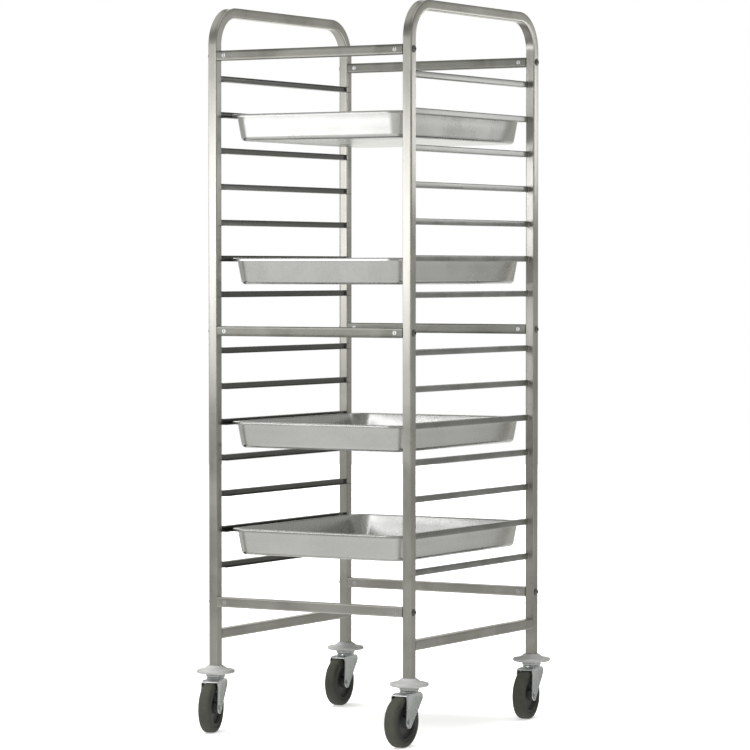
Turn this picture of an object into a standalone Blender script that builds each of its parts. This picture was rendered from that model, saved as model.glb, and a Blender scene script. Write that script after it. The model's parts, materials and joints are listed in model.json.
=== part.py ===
"""Rolling rack for deep catering pans: two tube side frames joined by bolted cross bars,
fourteen levels of channel runners, four pans and four swivel castors with round bumpers.

X runs across the front, Y runs along the runners towards the rear, and Z is up.
All sizes are in metres. The origin is the middle of the footprint, on the floor.
"""

import bpy
import bmesh
from math import cos, pi, radians, sin
from mathutils import Matrix, Vector

# Side frames and cross bars
FRAME_WIDTH = 0.562          # between the centre lines of the two side frames
FRAME_DEPTH = 0.640          # between the centre lines of the front and rear uprights
FRAME_HEIGHT = 1.822         # floor to the top of the bent tube
TUBE = 0.025                 # outer side of the square tube
TUBE_WALL = 0.0015
TUBE_CHAMFER = 0.0018        # stands for the tube's rounded long edges
BEND_RADIUS = 0.085          # centre line of the bent corners
BEND_STEPS = 8
UPRIGHT_FOOT = 0.166         # lower end of the uprights
BOTTOM_RAIL_Z = 0.2445
BAR_HEIGHTS = {"bottom": 0.3265, "middle": 1.008, "top": 1.6975}

# Runners and pans
LEVEL_PITCH = 0.090
LEVELS_PER_BAY = 7
TOP_LEVEL_Z = 1.640          # first level, counted from the top
LOWER_BAY_Z = 0.959          # eighth level, just under the middle bars
RUNNER_HEIGHT = 0.015
RUNNER_SHEET = 0.0015
RUNNER_LOWER_FLANGE = 0.022
RUNNER_UPPER_FLANGE = 0.014
RUNNER_WEB_X = 0.277         # outer face of the runner's web
PAN_LEVELS = (2, 6, 10, 13)
PAN_WIDTH = 0.530
PAN_LENGTH = 0.650
PAN_DEPTH = 0.065
PAN_SHEET = 0.0012
PAN_RIM = 0.0125             # flat rim around the mouth
PAN_LIP = 0.006              # turned-down edge of the rim
PAN_DRAFT = 0.0095           # how far each wall leans in over the depth
PAN_FILLET = 0.010           # between the walls and the floor
PAN_CORNER = 0.060           # corner radius of the rim's outer edge
PAN_SHIFT = 0.018            # the pans stand a little proud at the rear
CORNER_STEPS = 4

# Frame bolts and barrel nuts
BOLT_RADIUS = 0.0032
BOLT_HEAD_RADIUS = 0.009
BOLT_HEAD_HEIGHT = 0.0045
BOLT_HOLE_RADIUS = 0.0038
NUT_RADIUS = 0.006
NUT_SETBACK = 0.022          # from the end of the bar to the barrel nut

# Castors
WHEEL_RADIUS = 0.0625
WHEEL_SIDES = 24
TYRE_WIDTH = 0.032
TRAIL = 0.038                # from the swivel axis back to the axle
BUMPER_RADIUS = 0.0485
BUMPER_BOTTOM = 0.143
BUMPER_RIM_LOW = 0.0030      # underside of the rim, above the bumper's bottom
BUMPER_RIM_HIGH = 0.0125     # top of the rim, above the bumper's bottom
BUMPER_EDGE = 0.0028         # bevel of the rim
BUMPER_FOOT_RADIUS = 0.030
BUMPER_SHOULDER_RADIUS = 0.031
BUMPER_BOSS_RADIUS = 0.020   # under the end of the upright
FORK_WIDTH = 0.046
FORK_SHEET = 0.003
FORK_CROWN = 0.1315          # top of the fork
LEG_END_RADIUS = 0.015
AXLE_RADIUS = 0.004
AXLE_HEAD_RADIUS = 0.0075
AXLE_HEAD_HEIGHT = 0.0040
AXLE_NUT_RADIUS = 0.0070
AXLE_NUT_HEIGHT = 0.0060
AXLE_TIP = 0.0025            # end of the axle bolt beyond its nut
KING_PIN_RADIUS = 0.006
KING_PIN_HEAD_RADIUS = 0.009
KING_PIN_HEAD_HEIGHT = 0.0035
HEAD_PLATE = 0.004           # fixed plate under the bumper
BALL_RACE_RADIUS = 0.024
BALL_RACE_TAPER = 0.003
CORE_RADIUS = 0.0461
CORE_RIM_RADIUS = 0.0415     # inner edge of the core's rim
CORE_WEB_HALF = 0.0075       # half the thickness of the core between hub and rim
HUB_RADIUS = 0.0135
HUB_GAP = 0.0006             # between the hub and the fork's legs
PLUG_HEIGHT = 0.035          # square plug in the foot of an upright
CASTOR_TURN = {              # how each castor has swivelled as it stands, in degrees
    "front_right": 0.0,
    "front_left": 15.0,
    "rear_right": 6.5,
    "rear_left": 5.0,
}

GAP = 0.0003                 # kept between pieces that touch

# Colour, metallic and roughness of each finish
FINISHES = {
    "steel_tube": ((0.62, 0.61, 0.58), 1.0, 0.32),
    "runner_steel": ((0.50, 0.50, 0.48), 1.0, 0.36),
    "pan_steel": ((0.74, 0.74, 0.73), 1.0, 0.24),
    "zinc": ((0.72, 0.74, 0.74), 1.0, 0.30),
    "grey_plastic": ((0.46, 0.46, 0.45), 0.0, 0.50),
    "tyre_rubber": ((0.045, 0.047, 0.040), 0.0, 0.70),
    "core_plastic": ((0.030, 0.031, 0.030), 0.0, 0.55),
}


def level_height(level):
    """Middle height of a level's runners, with level 1 at the top."""
    if level <= LEVELS_PER_BAY:
        return TOP_LEVEL_Z - (level - 1) * LEVEL_PITCH
    return LOWER_BAY_Z - (level - 1 - LEVELS_PER_BAY) * LEVEL_PITCH


def castor_side(corner):
    """Signs of X and Y of a corner of the rack."""
    side_x = 1 if corner.endswith("right") else -1
    side_y = 1 if corner.startswith("rear") else -1
    return side_x, side_y


def front_reach(corner):
    """How far a castor's wheel reaches in front of its swivel axis."""
    turn = radians(CASTOR_TURN[corner])
    tread_half = TYRE_WIDTH * 0.25
    return (TRAIL + WHEEL_RADIUS) * cos(turn) + tread_half * abs(sin(turn))


# The wheels trail in front of the frame, so the middle of the footprint lies ahead of
# the middle of the frame by half the difference between the front and rear reach.
FRONT_REACH = max(front_reach("front_right"), front_reach("front_left"))
FRAME_OFFSET = (FRONT_REACH - BUMPER_RADIUS) / 2


# ---------------------------------------------------------------- scene and materials

def clear_scene():
    for item in list(bpy.data.objects):
        bpy.data.objects.remove(item, do_unlink=True)


def make_material(name):
    colour, metallic, roughness = FINISHES[name]
    material = bpy.data.materials.new(name)
    material.use_nodes = True
    shader = material.node_tree.nodes["Principled BSDF"]
    shader.inputs["Base Color"].default_value = (*colour, 1.0)
    shader.inputs["Metallic"].default_value = metallic
    shader.inputs["Roughness"].default_value = roughness
    material.diffuse_color = (*colour, 1.0)
    return material


def make_object(name, bm, material, parent, location=(0, 0, 0), turn=0.0, smooth=False):
    """Turn a bmesh into a named object under its parent, turned about Z."""
    bmesh.ops.remove_doubles(bm, verts=bm.verts, dist=1e-6)
    bmesh.ops.recalc_face_normals(bm, faces=bm.faces)
    mesh = bpy.data.meshes.new(name)
    bm.to_mesh(mesh)
    bm.free()
    mesh.materials.append(material)
    if smooth:
        mesh.shade_smooth()
        mesh.set_sharp_from_angle(angle=radians(35))
    item = bpy.data.objects.new(name, mesh)
    bpy.context.collection.objects.link(item)
    item.parent = parent
    item.location = location
    item.rotation_euler = (0, 0, turn)
    return item


def make_empty(name, parent=None, location=(0, 0, 0), turn=0.0):
    empty = bpy.data.objects.new(name, None)
    bpy.context.collection.objects.link(empty)
    empty.parent = parent
    empty.location = location
    empty.rotation_euler = (0, 0, turn)
    return empty


def combine(item, tool_bm, label, operation):
    """Subtract or weld on a closed shape, given in the item's own space."""
    bmesh.ops.recalc_face_normals(tool_bm, faces=tool_bm.faces)
    mesh = bpy.data.meshes.new(label)
    tool_bm.to_mesh(mesh)
    tool_bm.free()
    tool = bpy.data.objects.new(label, mesh)
    bpy.context.collection.objects.link(tool)
    tool.parent = item
    tool.hide_render = True
    tool.display_type = "WIRE"
    modifier = item.modifiers.new(label, "BOOLEAN")
    modifier.operation = operation
    modifier.solver = "EXACT"
    modifier.object = tool


# ---------------------------------------------------------------- shape helpers

def add_box(bm, low, high):
    size = Vector(high) - Vector(low)
    middle = (Vector(high) + Vector(low)) / 2
    bmesh.ops.create_cube(bm, size=1.0, matrix=Matrix.Translation(middle) @ Matrix.Diagonal((*size, 1.0)))


def add_rod(bm, radius, start, end, sides):
    """A round rod, or a polygon of few sides, between two points."""
    start = Vector(start)
    along = Vector(end) - start
    turn = Vector((0, 0, 1)).rotation_difference(along).to_matrix().to_4x4()
    bmesh.ops.create_cone(
        bm,
        cap_ends=True,
        segments=sides,
        radius1=radius,
        radius2=radius,
        depth=along.length,
        matrix=Matrix.Translation(start + along / 2) @ turn,
    )


def bridge_rings(bm, rings, closed):
    """Join equal rings of vertices in order, and the last to the first if closed."""
    pairs = list(zip(rings, rings[1:]))
    if closed:
        pairs.append((rings[-1], rings[0]))
    for first, second in pairs:
        count = len(first)
        for i in range(count):
            j = (i + 1) % count
            bm.faces.new((first[i], first[j], second[j], second[i]))


def add_turned(bm, profile, sides, axis_matrix=None, start=0.0):
    """Turn a profile of (radius, height) about the axis. Radius 0 at both ends closes it."""
    place = axis_matrix or Matrix.Identity(4)
    rings = []
    for radius, height in profile:
        if radius == 0:
            continue
        ring = []
        for i in range(sides):
            angle = start + 2 * pi * i / sides
            point = Vector((radius * cos(angle), radius * sin(angle), height))
            ring.append(bm.verts.new(place @ point))
        rings.append(ring)
    solid = profile[0][0] == 0
    bridge_rings(bm, rings, closed=not solid)
    if solid:
        bm.faces.new(rings[0])
        bm.faces.new(rings[-1])


def square_outline(half, chamfer):
    """Corner points of a square whose corners are cut by the chamfer."""
    inner = half - chamfer
    points = []
    for sign_u, sign_v, swap in ((1, -1, 0), (1, 1, 1), (-1, 1, 0), (-1, -1, 1)):
        first = (sign_u * half, sign_v * inner)
        second = (sign_u * inner, sign_v * half)
        points += [second, first] if not swap else [first, second]
    return points


def add_square_tube(bm, frames, half=TUBE / 2):
    """Sweep a hollow square tube through frames, each an origin, a side and an up vector."""
    outer = square_outline(half, TUBE_CHAMFER)
    bore = half - TUBE_WALL
    inner = [(bore, -bore), (bore, bore), (-bore, bore), (-bore, -bore)]

    def ring(outline, frame):
        origin, side, up = frame
        return [bm.verts.new(origin + side * u + up * v) for u, v in outline]

    outer_rings = [ring(outer, frame) for frame in frames]
    inner_rings = [ring(inner, frame) for frame in frames]
    bridge_rings(bm, outer_rings, closed=False)
    bridge_rings(bm, inner_rings, closed=False)
    for outer_ring, inner_ring in ((outer_rings[0], inner_rings[0]), (outer_rings[-1], inner_rings[-1])):
        for i in range(4):
            corner = inner_ring[i]
            following = inner_ring[(i + 1) % 4]
            first = outer_ring[2 * i]
            second = outer_ring[2 * i + 1]
            third = outer_ring[(2 * i + 2) % 8]
            bm.faces.new((first, second, corner))
            bm.faces.new((second, third, following, corner))


def rounded_rectangle(bm, half_x, half_y, radius, height):
    """A ring of vertices around a rectangle with round corners."""
    ring = []
    for quarter, (sign_x, sign_y) in enumerate(((1, 1), (-1, 1), (-1, -1), (1, -1))):
        centre_x = sign_x * (half_x - radius)
        centre_y = sign_y * (half_y - radius)
        for step in range(CORNER_STEPS + 1):
            angle = pi / 2 * (quarter + step / CORNER_STEPS)
            x = centre_x + radius * cos(angle)
            y = centre_y + radius * sin(angle)
            ring.append(bm.verts.new((x, y, height)))
    return ring


# ---------------------------------------------------------------- frame

def frame_path():
    """Frames along the inverted U of a side frame, in the YZ plane."""
    side = Vector((1, 0, 0))
    half_depth = FRAME_DEPTH / 2
    top = FRAME_HEIGHT - TUBE / 2
    frames = [(Vector((0, -half_depth, UPRIGHT_FOOT)), side, Vector((0, -1, 0)))]
    for sign in (-1, 1):
        centre = Vector((0, sign * (half_depth - BEND_RADIUS), top - BEND_RADIUS))
        for step in range(BEND_STEPS + 1):
            part = step / BEND_STEPS
            angle = pi - part * pi / 2 if sign < 0 else pi / 2 - part * pi / 2
            outward = Vector((0, cos(angle), sin(angle)))
            frames.append((centre + outward * BEND_RADIUS, side, outward))
    frames.append((Vector((0, half_depth, UPRIGHT_FOOT)), side, Vector((0, 1, 0))))
    return frames


def make_side_frame(name, side_x, material, root):
    bm = bmesh.new()
    add_square_tube(bm, frame_path())
    item = make_object(name, bm, material, root, location=(side_x * FRAME_WIDTH / 2, 0, 0))
    holes = bmesh.new()
    for height in BAR_HEIGHTS.values():
        for side_y in (-1, 1):
            y = side_y * FRAME_DEPTH / 2
            add_rod(holes, BOLT_HOLE_RADIUS, (-TUBE, y, height), (TUBE, y, height), 8)
    combine(item, holes, name + "_bolt_holes", "DIFFERENCE")


def make_bottom_rail(name, side_x, material, root):
    """Square tube between the front and rear uprights of one side frame."""
    bm = bmesh.new()
    reach = FRAME_DEPTH / 2 - TUBE / 2 - GAP
    side = Vector((1, 0, 0))
    up = Vector((0, 0, 1))
    add_square_tube(bm, [(Vector((0, -reach, 0)), side, up), (Vector((0, reach, 0)), side, up)])
    make_object(name, bm, material, root, location=(side_x * FRAME_WIDTH / 2, 0, BOTTOM_RAIL_Z))


def bolt_profile(tip):
    """Shank from its tip out to a low domed head, as (radius, distance from the middle)."""
    base = FRAME_WIDTH / 2 + TUBE / 2 + GAP
    return [
        (0, tip),
        (BOLT_RADIUS, tip),
        (BOLT_RADIUS, base),
        (BOLT_HEAD_RADIUS, base),
        (BOLT_HEAD_RADIUS, base + BOLT_HEAD_HEIGHT * 0.35),
        (BOLT_HEAD_RADIUS * 0.6, base + BOLT_HEAD_HEIGHT),
        (0, base + BOLT_HEAD_HEIGHT),
    ]


def make_cross_bar(name, side_y, height, material, root):
    """Square tube with a barrel nut near each end, drawn up by a bolt through each upright."""
    bm = bmesh.new()
    reach = FRAME_WIDTH / 2 - TUBE / 2 - GAP
    side = Vector((0, 1, 0))
    up = Vector((0, 0, 1))
    add_square_tube(bm, [(Vector((-reach, 0, 0)), side, up), (Vector((reach, 0, 0)), side, up)])
    item = make_object(name, bm, material, root, location=(0, side_y * FRAME_DEPTH / 2, height))
    nuts = bmesh.new()
    bolts = bmesh.new()
    nut_x = reach - NUT_SETBACK
    nut_half = TUBE / 2 + 2 * GAP
    tip = nut_x - NUT_RADIUS - BOLT_RADIUS
    for side_x in (-1, 1):
        x = side_x * nut_x
        add_rod(nuts, NUT_RADIUS, (x, -nut_half, 0), (x, nut_half, 0), 12)
        add_turned(bolts, bolt_profile(tip), 10, Matrix.Rotation(side_x * pi / 2, 4, "Y"))
    combine(item, nuts, name + "_nuts", "UNION")
    combine(item, bolts, name + "_bolts", "UNION")


# ---------------------------------------------------------------- runners and pans

def runner_outline(side_x):
    """Section of one channel, open towards the middle of the rack."""
    low = -RUNNER_HEIGHT / 2
    high = RUNNER_HEIGHT / 2
    sheet = RUNNER_SHEET
    points = [
        (0, low),
        (RUNNER_LOWER_FLANGE, low),
        (RUNNER_LOWER_FLANGE, low + sheet),
        (sheet, low + sheet),
        (sheet, high - sheet),
        (RUNNER_UPPER_FLANGE, high - sheet),
        (RUNNER_UPPER_FLANGE, high),
        (0, high),
    ]
    return [(side_x * (RUNNER_WEB_X - inward), z) for inward, z in points]


def make_runner(name, side_x, level, material, root):
    bm = bmesh.new()
    reach = FRAME_DEPTH / 2 - TUBE / 2 - GAP
    outline = runner_outline(side_x)
    front = [bm.verts.new((x, -reach, z)) for x, z in outline]
    rear = [bm.verts.new((x, reach, z)) for x, z in outline]
    bridge_rings(bm, [front, rear], closed=False)
    bm.faces.new(front)
    bm.faces.new(rear)
    make_object(f"runner_{name}_{level:02d}", bm, material, root, location=(0, 0, level_height(level)))


def make_pan(level, material, root):
    """Deep pressed pan. Its turned-down lip stands on the lower flanges of two runners."""
    bm = bmesh.new()
    half_x = PAN_WIDTH / 2
    half_y = PAN_LENGTH / 2
    sheet = PAN_SHEET
    floor = -PAN_DEPTH
    fillet = PAN_FILLET
    steps = [                # inset from the rim's outer edge, height below the rim's top
        (sheet, -PAN_LIP),
        (0, -PAN_LIP),
        (0, 0),
        (PAN_RIM, 0),
        (PAN_RIM + PAN_DRAFT, floor + fillet),
        (PAN_RIM + PAN_DRAFT + fillet, floor + sheet),
        (PAN_RIM + PAN_DRAFT + fillet, floor),
        (PAN_RIM + PAN_DRAFT - sheet, floor + fillet - sheet),
        (PAN_RIM - sheet, -sheet),
        (sheet, -sheet),
    ]
    rings = [
        rounded_rectangle(bm, half_x - inset, half_y - inset, PAN_CORNER - inset, height)
        for inset, height in steps
    ]
    inside = rings[:6]
    outside = rings[6:] + rings[:1]
    bridge_rings(bm, inside, closed=False)
    bridge_rings(bm, outside, closed=False)
    bm.faces.new(rings[5])
    bm.faces.new(rings[6])
    rim_top = level_height(level) - RUNNER_HEIGHT / 2 + RUNNER_SHEET + GAP + PAN_LIP
    make_object(f"pan_level_{level:02d}", bm, material, root, location=(0, PAN_SHIFT, rim_top))


# ---------------------------------------------------------------- castors

def make_bumper(name, material, castor):
    """Round bumper on the fixed part of the castor: tube plug, head plate and king pin."""
    bm = bmesh.new()
    base = BUMPER_BOTTOM
    head_bottom = base - HEAD_PLATE
    pin_end = FORK_CROWN - FORK_SHEET - GAP
    rim_low = base + BUMPER_RIM_LOW
    rim_high = base + BUMPER_RIM_HIGH
    profile = [
        (0, pin_end - KING_PIN_HEAD_HEIGHT),
        (KING_PIN_HEAD_RADIUS, pin_end - KING_PIN_HEAD_HEIGHT),
        (KING_PIN_HEAD_RADIUS, pin_end),
        (KING_PIN_RADIUS, pin_end),
        (KING_PIN_RADIUS, FORK_CROWN + GAP),
        (BALL_RACE_RADIUS - BALL_RACE_TAPER, FORK_CROWN + GAP),
        (BALL_RACE_RADIUS, head_bottom),
        (BALL_RACE_RADIUS, base),
        (BUMPER_FOOT_RADIUS, base),
        (BUMPER_RADIUS - BUMPER_EDGE, rim_low),
        (BUMPER_RADIUS, rim_low + BUMPER_EDGE),
        (BUMPER_RADIUS, rim_high - BUMPER_EDGE),
        (BUMPER_RADIUS - BUMPER_EDGE, rim_high),
        (BUMPER_SHOULDER_RADIUS, rim_high + 0.0025),
        (BUMPER_BOSS_RADIUS, UPRIGHT_FOOT - GAP),
        (0, UPRIGHT_FOOT - GAP),
    ]
    add_turned(bm, profile, 20)
    item = make_object(name, bm, material, castor, smooth=True)
    plug = bmesh.new()
    half = TUBE / 2 - TUBE_WALL - GAP
    add_box(plug, (-half, -half, UPRIGHT_FOOT - 0.004), (half, half, UPRIGHT_FOOT + PLUG_HEIGHT))
    combine(item, plug, name + "_tube_plug", "UNION")


def fork_side_outline():
    """Side view of the fork as (y, z): crown, sloped nose and legs down to the axle."""
    points = [
        (-0.0385, FORK_CROWN),
        (-0.0470, FORK_CROWN - 0.0030),
        (-0.0490, FORK_CROWN - 0.0062),
        (-0.0488, FORK_CROWN - 0.0150),
    ]
    for step in range(7):
        angle = pi + step * radians(26)
        y = -TRAIL + LEG_END_RADIUS * cos(angle)
        z = WHEEL_RADIUS + LEG_END_RADIUS * sin(angle)
        points.append((y, z))
    points += [(0.028, FORK_CROWN - 0.016), (0.028, FORK_CROWN - 0.005), (0.022, FORK_CROWN)]
    return points


def fork_space_outline():
    """Side view of the room for the wheel, open below, in front and behind."""
    ceiling = FORK_CROWN - FORK_SHEET
    return [
        (-0.0400, ceiling),
        (-0.0800, ceiling - 0.0124),
        (-0.0800, 0.030),
        (0.0500, 0.030),
        (0.0500, ceiling - 0.016),
        (0.0245, ceiling - 0.004),
        (0.0215, ceiling),
    ]


def add_side_prism(bm, outline, half_width):
    """Extrude a side view of (y, z) points across X."""
    left = [bm.verts.new((-half_width, y, z)) for y, z in outline]
    right = [bm.verts.new((half_width, y, z)) for y, z in outline]
    bridge_rings(bm, [left, right], closed=False)
    bm.faces.new(left)
    bm.faces.new(right)


def along_axle():
    """Matrix that lays a turned profile's axis along X."""
    return Matrix.Rotation(pi / 2, 4, "Y")


def make_fork(name, material, swivel):
    """Pressed fork with the axle bolt clamped between its legs."""
    bm = bmesh.new()
    add_side_prism(bm, fork_side_outline(), FORK_WIDTH / 2)
    item = make_object(name, bm, material, swivel)
    room = bmesh.new()
    add_side_prism(room, fork_space_outline(), FORK_WIDTH / 2 - FORK_SHEET)
    combine(item, room, name + "_wheel_room", "DIFFERENCE")
    hole = bmesh.new()
    add_rod(hole, KING_PIN_RADIUS + 2 * GAP, (0, 0, FORK_CROWN - 0.01), (0, 0, FORK_CROWN + 0.01), 20)
    combine(item, hole, name + "_king_pin_hole", "DIFFERENCE")
    axle = bmesh.new()
    face = FORK_WIDTH / 2
    sunk = FORK_SHEET / 3        # the nut and head overlap the legs, so the fork stays one body
    profile = [
        (0, -face - AXLE_NUT_HEIGHT - AXLE_TIP),
        (AXLE_RADIUS, -face - AXLE_NUT_HEIGHT - AXLE_TIP),
        (AXLE_RADIUS, -face - AXLE_NUT_HEIGHT),
        (AXLE_NUT_RADIUS, -face - AXLE_NUT_HEIGHT),
        (AXLE_NUT_RADIUS, -face + sunk),
        (AXLE_RADIUS, -face + sunk),
        (AXLE_RADIUS, face - sunk),
        (AXLE_HEAD_RADIUS, face - sunk),
        (AXLE_HEAD_RADIUS, face + AXLE_HEAD_HEIGHT),
        (0, face + AXLE_HEAD_HEIGHT),
    ]
    place = Matrix.Translation((0, -TRAIL, WHEEL_RADIUS)) @ along_axle()
    add_turned(axle, profile, 12, place)
    combine(item, axle, name + "_axle", "UNION")


def make_wheel_core(name, material, axle):
    bm = bmesh.new()
    half = FORK_WIDTH / 2 - FORK_SHEET - HUB_GAP
    rim_half = TYRE_WIDTH / 2 - 0.0015
    outer = [
        (HUB_RADIUS, half),
        (HUB_RADIUS + 0.0015, CORE_WEB_HALF),
        (CORE_RIM_RADIUS - 0.0025, CORE_WEB_HALF),
        (CORE_RIM_RADIUS, rim_half),
        (CORE_RADIUS, rim_half),
    ]
    bore = AXLE_RADIUS + GAP
    profile = [(bore, half)] + outer
    profile += [(radius, -height) for radius, height in reversed(outer)] + [(bore, -half)]
    add_turned(bm, profile, 16, along_axle())
    make_object(name, bm, material, axle, smooth=True)


def make_tyre(name, material, axle):
    """Tyre whose flats touch the wheel's true radius, so that one flat lies on the floor."""
    bm = bmesh.new()
    flat_to_corner = 1 / cos(pi / WHEEL_SIDES)
    half = TYRE_WIDTH / 2
    outer = [
        (CORE_RADIUS + GAP, half - 0.0015),
        (WHEEL_RADIUS - 0.0080, half),
        (WHEEL_RADIUS - 0.0022, half - 0.0025),
        (WHEEL_RADIUS, half * 0.5),
    ]
    profile = outer + [(radius, -height) for radius, height in reversed(outer)]
    profile = [(radius * flat_to_corner, height) for radius, height in profile]
    add_turned(bm, profile, WHEEL_SIDES, along_axle(), start=pi / WHEEL_SIDES)
    make_object(name, bm, material, axle, smooth=True)


def make_castor(corner, materials, root):
    side_x, side_y = castor_side(corner)
    place = (side_x * FRAME_WIDTH / 2, side_y * FRAME_DEPTH / 2, 0)
    castor = make_empty(f"castor_{corner}", root, place)
    make_bumper(f"bumper_{corner}", materials["grey_plastic"], castor)
    swivel = make_empty(f"swivel_{corner}", castor, turn=radians(CASTOR_TURN[corner]))
    make_fork(f"fork_{corner}", materials["zinc"], swivel)
    axle = make_empty(f"wheel_axis_{corner}", swivel, (0, -TRAIL, WHEEL_RADIUS))
    make_wheel_core(f"wheel_core_{corner}", materials["core_plastic"], axle)
    make_tyre(f"tyre_{corner}", materials["tyre_rubber"], axle)


# ---------------------------------------------------------------- the whole rack

def build():
    clear_scene()
    materials = {name: make_material(name) for name in FINISHES}
    root = make_empty("rack", location=(0, FRAME_OFFSET, 0))
    for name, side_x in (("left", -1), ("right", 1)):
        make_side_frame(f"{name}_frame_tube", side_x, materials["steel_tube"], root)
        make_bottom_rail(f"{name}_bottom_rail", side_x, materials["steel_tube"], root)
        for level in range(1, 2 * LEVELS_PER_BAY + 1):
            make_runner(name, side_x, level, materials["runner_steel"], root)
    for name, side_y in (("front", -1), ("rear", 1)):
        for place, height in BAR_HEIGHTS.items():
            make_cross_bar(f"{name}_{place}_bar", side_y, height, materials["steel_tube"], root)
    for level in PAN_LEVELS:
        make_pan(level, materials["pan_steel"], root)
    for corner in CASTOR_TURN:
        make_castor(corner, materials, root)


build()
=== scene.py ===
# Rolling rack for deep pans: the finished looks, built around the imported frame.
# Lengths are in metres, X runs across the front, Y runs to the rear and Z is up.
import json
from math import atan2, cos, hypot, pi, radians, sin

import bmesh
import bpy
from mathutils import Matrix, Vector


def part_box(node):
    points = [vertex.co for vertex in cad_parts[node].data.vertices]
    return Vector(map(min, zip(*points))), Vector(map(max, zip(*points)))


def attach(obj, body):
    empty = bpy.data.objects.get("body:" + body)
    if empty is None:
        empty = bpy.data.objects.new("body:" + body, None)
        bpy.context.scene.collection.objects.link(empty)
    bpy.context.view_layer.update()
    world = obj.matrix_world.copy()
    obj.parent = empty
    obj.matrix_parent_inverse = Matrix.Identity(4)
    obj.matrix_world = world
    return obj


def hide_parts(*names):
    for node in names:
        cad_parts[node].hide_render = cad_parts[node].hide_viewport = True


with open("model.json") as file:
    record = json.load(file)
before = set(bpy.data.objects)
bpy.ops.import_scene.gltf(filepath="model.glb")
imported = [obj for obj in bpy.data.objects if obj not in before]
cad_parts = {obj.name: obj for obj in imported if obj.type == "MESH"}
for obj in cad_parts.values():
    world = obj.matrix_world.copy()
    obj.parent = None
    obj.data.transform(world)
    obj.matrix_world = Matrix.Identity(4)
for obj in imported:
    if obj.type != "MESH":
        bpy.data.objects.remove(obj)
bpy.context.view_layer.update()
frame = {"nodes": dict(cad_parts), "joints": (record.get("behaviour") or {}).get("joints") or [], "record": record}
joints = {joint["name"]: joint for joint in frame["joints"]}
bodyOf = {node: body for body, nodes in frame["record"]["behaviour"]["bodies"].items() for node in nodes}
corners = ("front_right", "front_left", "rear_right", "rear_left")


# camera, lights and floor

camera = {"place": (4.5101, -7.6906, 1.1616), "azimuth": 30.32, "tilt": -1.72, "lens": 168.1}
floor = {"radius": 12.0, "sides": 96, "colour": (0.90, 0.90, 0.895), "glow": 0.5,
         "rough": 0.8}
panels = {
    "frontPanel": {"at": (-0.95, -1.75, 1.375), "towards": (-0.20, 0.0, 1.375), "size": (1.5, 0.69), "glow": 2.2,
                   "onMetalOnly": True},
    "rearRightPanel": {"at": (1.03, 1.23, 1.585), "towards": (0.16, -0.26, 1.585), "size": (0.55, 0.40), "glow": 1.8,
                       "onMetalOnly": True},
    "rearLeftPanel": {"at": (-1.8, 1.3, 2.1), "towards": (-0.1, -0.1, 0.15), "size": (1.2, 1.0), "glow": 1.6,
                      "onMetalOnly": True},
    "overheadPanel": {"at": (-0.3, 0.2, 3.6), "towards": (0, 0, 0), "size": (2.6, 2.6), "glow": 1.6,
                      "inReflections": False},
}
suns = {
    "overheadSun": {"strength": 3.6, "spread": 70, "lean": (12, -10, 0)},
    "frontSun": {"strength": 1.1, "spread": 80, "lean": (52, -26, 0)},
}
# a span is where a change of light begins and ends, as the height of the direction or its closeness to another
room = {"level": 0.36, "below": 0.68, "belowSpan": (-0.12, -0.34), "above": 0.08, "aboveSpan": (0.15, 0.62),
        "overhead": 0.62, "overheadSpan": (0.50, 0.82), "brightTowards": (-0.55, -0.83, 0.0),
        "awayShare": 1.02, "towardsShare": 1.08, "towardsSpan": (-0.9, 0.95), "behind": (-0.505, 0.863, 0.0),
        "behindGlow": 0.62, "behindSpan": (0.80, 0.95), "onMatt": 0.55, "backdrop": 1.0,
        "levelColour": (0.975, 1.0, 0.915), "openColour": (1.0, 0.99, 0.97)}


def addNode(tree, kind, settings=None, values=None):
    node = tree.nodes.new(kind)
    for key, value in (settings or {}).items():
        setattr(node, key, value)
    for key, value in (values or {}).items():
        node.inputs[key].default_value = value
    return node


def joiner(tree):
    # joins one node's output to another node's input, both by their names
    def join(source, output, target, entry):
        tree.links.new(source.outputs[output], target.inputs[entry])
    return join


def softRange(tree, span, made=(0.0, 1.0)):
    return addNode(tree, "ShaderNodeMapRange", {"interpolation_type": "SMOOTHSTEP"}, {
        "From Min": span[0], "From Max": span[1], "To Min": made[0], "To Max": made[1]})


def aimAt(item, target):
    item.rotation_mode = "QUATERNION"
    item.rotation_quaternion = (Vector(target) - item.location).to_track_quat("-Z", "Y")


def makeCamera():
    data = bpy.data.cameras.new("camera")
    data.lens = camera["lens"]
    data.sensor_width = 36
    data.clip_end = 100
    item = bpy.data.objects.new("camera", data)
    bpy.context.scene.collection.objects.link(item)
    item.location = camera["place"]
    item.rotation_euler = (radians(90 + camera["tilt"]), 0, radians(camera["azimuth"]))
    bpy.context.scene.camera = item


def makeLights():
    for name, panel in panels.items():
        data = bpy.data.lights.new(name, "AREA")
        data.shape = "RECTANGLE"
        data.size, data.size_y = panel["size"]
        data.energy = panel["glow"] * pi * data.size * data.size_y
        item = bpy.data.objects.new(name, data)
        bpy.context.scene.collection.objects.link(item)
        item.location = panel["at"]
        item.visible_camera = False
        item.visible_glossy = panel.get("inReflections", True)
        item.visible_diffuse = not panel.get("onMetalOnly", False)
        aimAt(item, panel["towards"])
    for name, sun in suns.items():
        data = bpy.data.lights.new(name, "SUN")
        data.energy = sun["strength"]
        data.angle = radians(sun["spread"])
        item = bpy.data.objects.new(name, data)
        bpy.context.scene.collection.objects.link(item)
        item.rotation_euler = [radians(angle) for angle in sun["lean"]]
        item.visible_glossy = False


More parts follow.
